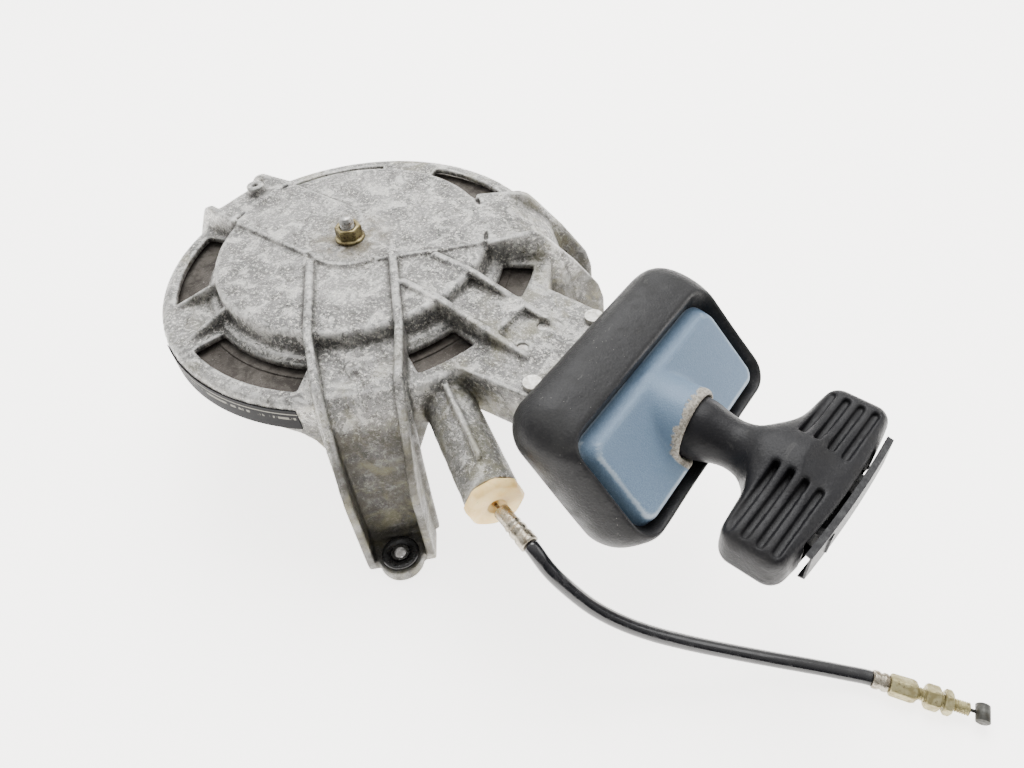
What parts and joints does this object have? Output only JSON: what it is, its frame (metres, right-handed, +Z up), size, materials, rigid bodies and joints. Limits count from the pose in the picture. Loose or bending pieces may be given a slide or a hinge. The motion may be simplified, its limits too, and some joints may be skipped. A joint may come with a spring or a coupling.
{
  "type": "recoil starter",
  "caption": "Pull-rope recoil starter for a small outboard engine: cast three-leg case with drum, rope seat, cowl seal, T-handle and start-lock cable.",
  "frame": {"origin": "on the drum's axis, in the plane of the three feet", "axes": "+Z up along the drum's axis, +X the way the rope is pulled"},
  "size_m": [0.5165, 0.2234, 0.1313],
  "materials": {
    "cast_alloy": "as cast, weathered",
    "drum_alloy": "turned, grimy",
    "plate_ink": "printed foil",
    "seal_rubber": "moulded, scuffed",
    "grommet_rubber": "glossy",
    "bright_steel": "plain steel",
    "zinc_steel": "yellow zinc, stained",
    "spring_steel": "blued strip",
    "nickel": "dull nickel",
    "bush_brass": "sintered",
    "seat_paint": "fine metallic",
    "nylon": "aged, waxy",
    "roller_nylon": "plain",
    "sheath": "glossy",
    "dark_steel": "phosphated",
    "rope": "braided",
    "grip_rubber": "moulded",
    "cover_plastic": "worn"
  },
  "bodies": {
    "case": {"starter_case": "cast_alloy", "maker_plate": "plate_ink", "foot_grommets": "grommet_rubber", "foot_collars": "bright_steel", "center_bolt": "bright_steel", "center_nut": "zinc_steel", "spiral_spring": "spring_steel", "drive_plate": "bright_steel", "plate_spring": "spring_steel", "roller_pins": "bright_steel", "rope_seat": "seat_paint", "cowl_seal": "seal_rubber", "seat_screws": "bright_steel", "cable_cap": "nylon", "plunger_spring": "spring_steel", "near_ferrule": "nickel", "cable_sheath": "sheath", "far_ferrule": "nickel", "adjuster_body": "zinc_steel", "adjuster_nuts": "zinc_steel", "rope_lead": "rope"},
    "drum": {"rope_drum": "drum_alloy", "drum_bush": "bush_brass", "rope_turns": "rope", "pawl_pin": "bright_steel", "pawl_spring": "spring_steel"},
    "pawl": {"drive_pawl": "dark_steel"},
    "far_roller": {"far_roller": "roller_nylon"},
    "near_roller": {"near_roller": "roller_nylon"},
    "plunger": {"lock_plunger": "dark_steel", "inner_wire": "dark_steel"},
    "wire_end": {"wire_nipple": "dark_steel"},
    "handle": {"handle_grip": "grip_rubber", "rope_washer": "bright_steel", "rope_knot": "rope", "handle_cover": "cover_plastic", "rope_run": "rope"}
  },
  "joints": [
    {"name": "handle_pull", "type": "slide", "parent": "case", "child": "handle", "axis": [1, 0, 0], "range_m": [0, 1.5], "stiffness_N_per_m": 12, "springref_m": -0.8, "deforming": ["rope_run"]},
    {"name": "drum_turn", "type": "hinge", "parent": "case", "child": "drum", "pos_m": [0, 0, 0.09], "axis": [0, 0, 1], "range_deg": [-980, 0]},
    {"name": "pawl_swing", "type": "hinge", "parent": "drum", "child": "pawl", "pos_m": [0.046, 0, 0.082], "axis": [0, 0, -1], "range_deg": [0, 28], "stiffness_Nm_per_rad": 0.02},
    {"name": "far_roller_turn", "type": "hinge", "parent": "case", "child": "far_roller", "pos_m": [0.122, 0.0091, 0.09], "axis": [0, 0, 1], "continuous": true},
    {"name": "near_roller_turn", "type": "hinge", "parent": "case", "child": "near_roller", "pos_m": [0.122, -0.0091, 0.09], "axis": [0, 0, 1], "continuous": true},
    {"name": "plunger_slide", "type": "slide", "parent": "case", "child": "plunger", "axis": [0.8453, -0.5344, 0], "range_m": [0, 0.008], "stiffness_N_per_m": 400, "springref_m": -0.01},
    {"name": "wire_slide", "type": "slide", "parent": "case", "child": "wire_end", "axis": [0.9703, 0.2419, 0], "range_m": [0, 0.008]}
  ],
  "couplings": [
    {"joint": "drum_turn", "follows": "handle_pull", "rad_per_m": -11.364},
    {"joint": "wire_slide", "follows": "plunger_slide", "ratio": 1}
  ]
}
